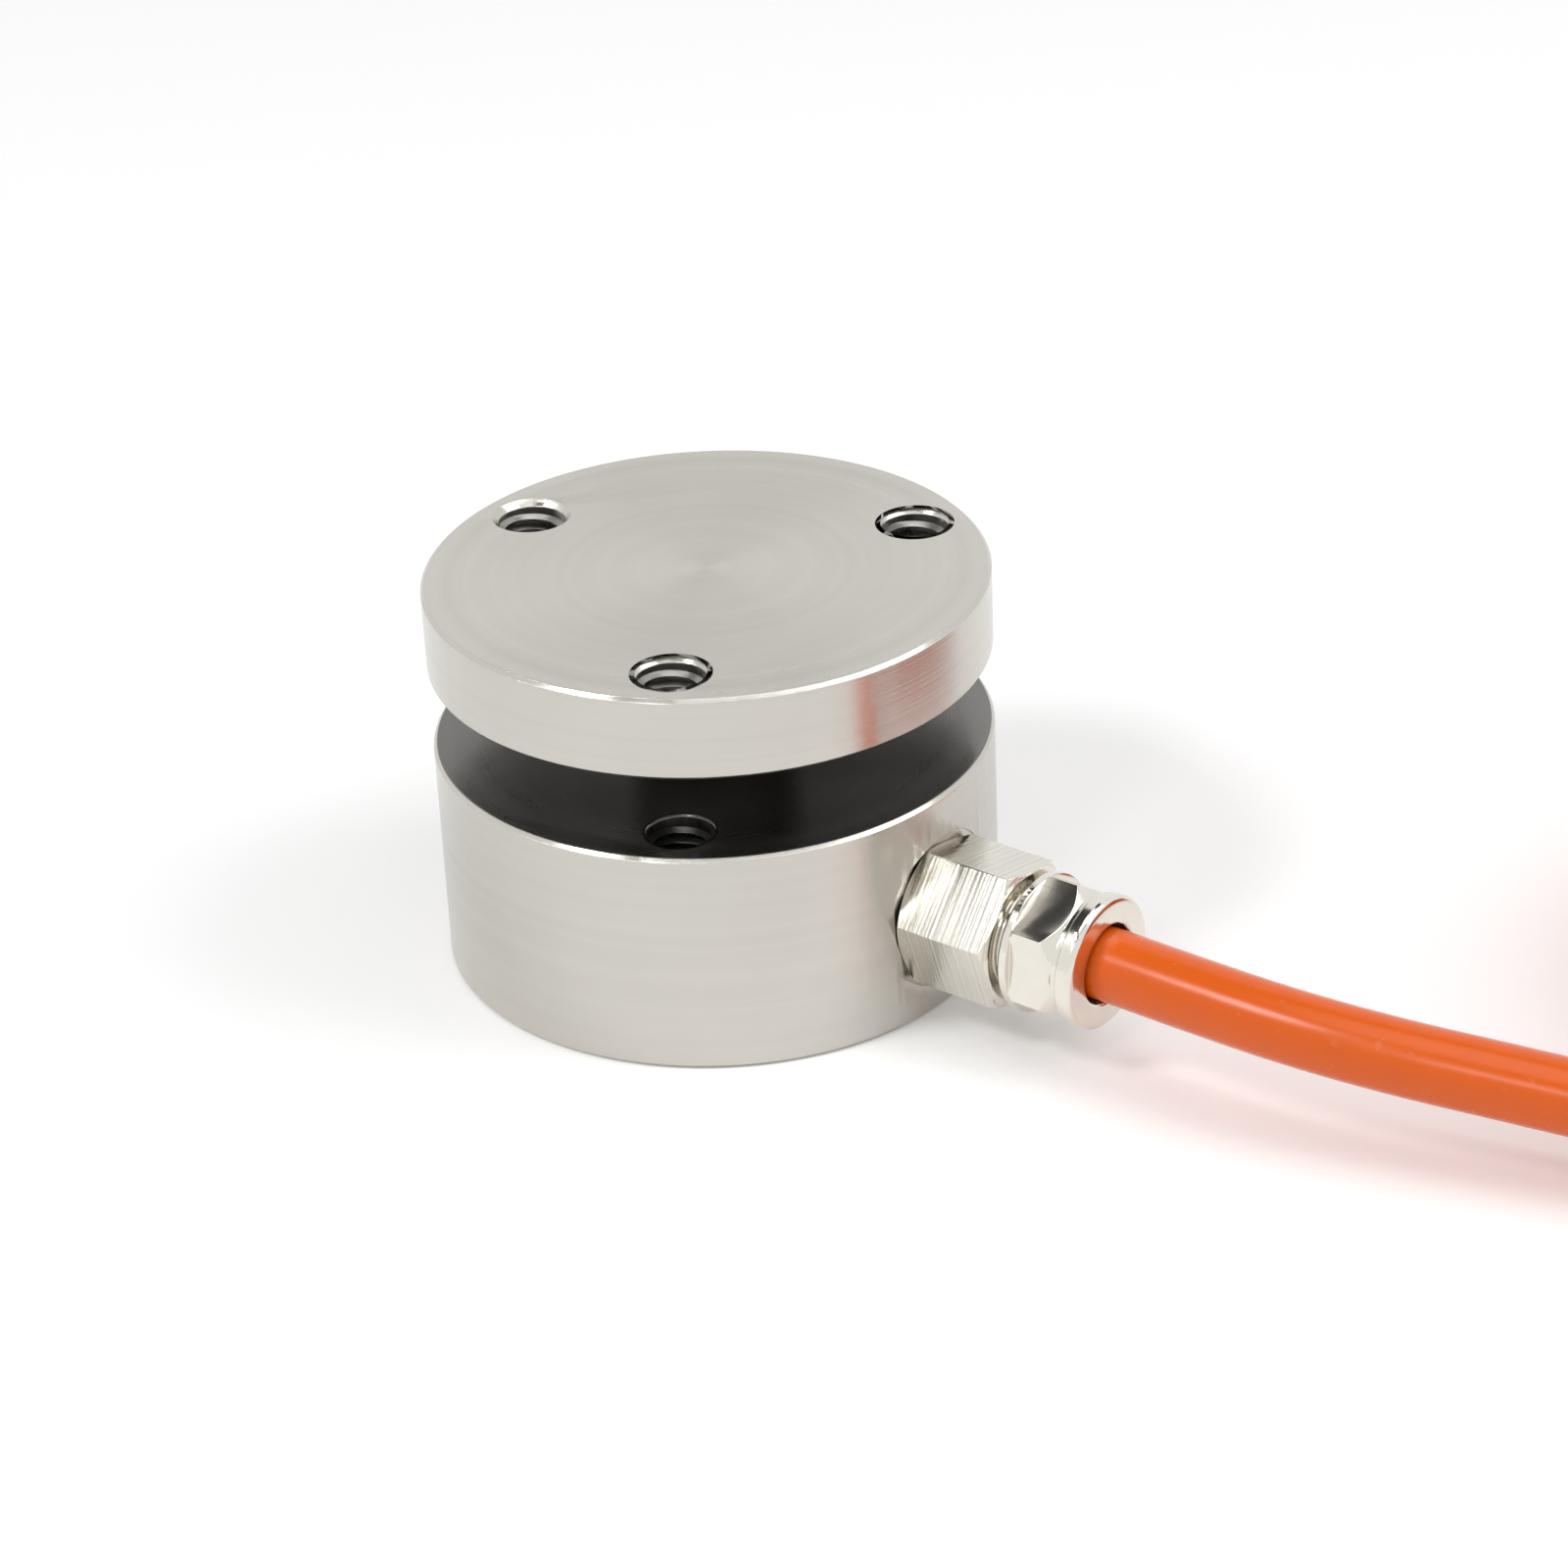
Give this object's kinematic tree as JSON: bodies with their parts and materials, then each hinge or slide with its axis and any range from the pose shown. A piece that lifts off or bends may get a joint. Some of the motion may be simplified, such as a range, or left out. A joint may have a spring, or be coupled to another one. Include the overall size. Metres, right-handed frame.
{
  "type": "inline load cell",
  "caption": "Round load cell with a loading flange over a mounting ring, tapped holes in both, and a cable led out sideways through a hexagon gland.",
  "frame": {"origin": "on the load axis at the bottom face of the mounting ring", "axes": "+Z along the load axis towards the loading flange, +X along the cable gland, away from the body"},
  "size_m": [0.1839, 0.1297, 0.036],
  "materials": {
    "turned_steel": "satin, finely turned",
    "cover_steel": "satin",
    "screw_steel": "satin",
    "plated_gland": "bright nickel plated",
    "black_rubber": "matt",
    "orange_jacket": "smooth gloss",
    "gauge_foil": "amber film with foil grid",
    "copper_wire": "bare wire",
    "board": "solder mask",
    "spacer_brass": "turned",
    "resistor_black": "moulded",
    "solder": "tinned",
    "washer_plastic": "moulded",
    "red_core": "insulation",
    "black_core": "insulation",
    "green_core": "insulation",
    "white_core": "insulation",
    "shield_braid": "twisted tinned strands",
    "strap": "ribbed strap",
    "shrink_sleeve": "semi-matt"
  },
  "bodies": {
    "root": {"spring_element": "turned_steel", "bottom_cover": "cover_steel", "cover_gasket": "black_rubber", "cover_screws": "screw_steel", "inner_gauges": "gauge_foil", "outer_gauges": "gauge_foil", "gauge_leads": "copper_wire", "terminal_board": "board", "board_spacer": "spacer_brass", "board_screw": "screw_steel", "bridge_resistors": "resistor_black", "core_joints": "solder", "core_red": "red_core", "core_black": "black_core", "core_green": "green_core", "core_white": "white_core", "gland_body": "plated_gland", "gland_seal": "black_rubber", "clamp_bush": "black_rubber", "clamp_washer": "washer_plastic", "gland_nut": "plated_gland", "cable_run": "orange_jacket", "cable_coil": "orange_jacket", "coil_ties": "strap", "cable_tail": "orange_jacket", "end_sleeve": "shrink_sleeve", "lead_red": "red_core", "lead_black": "black_core", "lead_green": "green_core", "lead_white": "white_core", "lead_shield": "shield_braid", "lead_tips": "solder"}
  },
  "joints": []
}
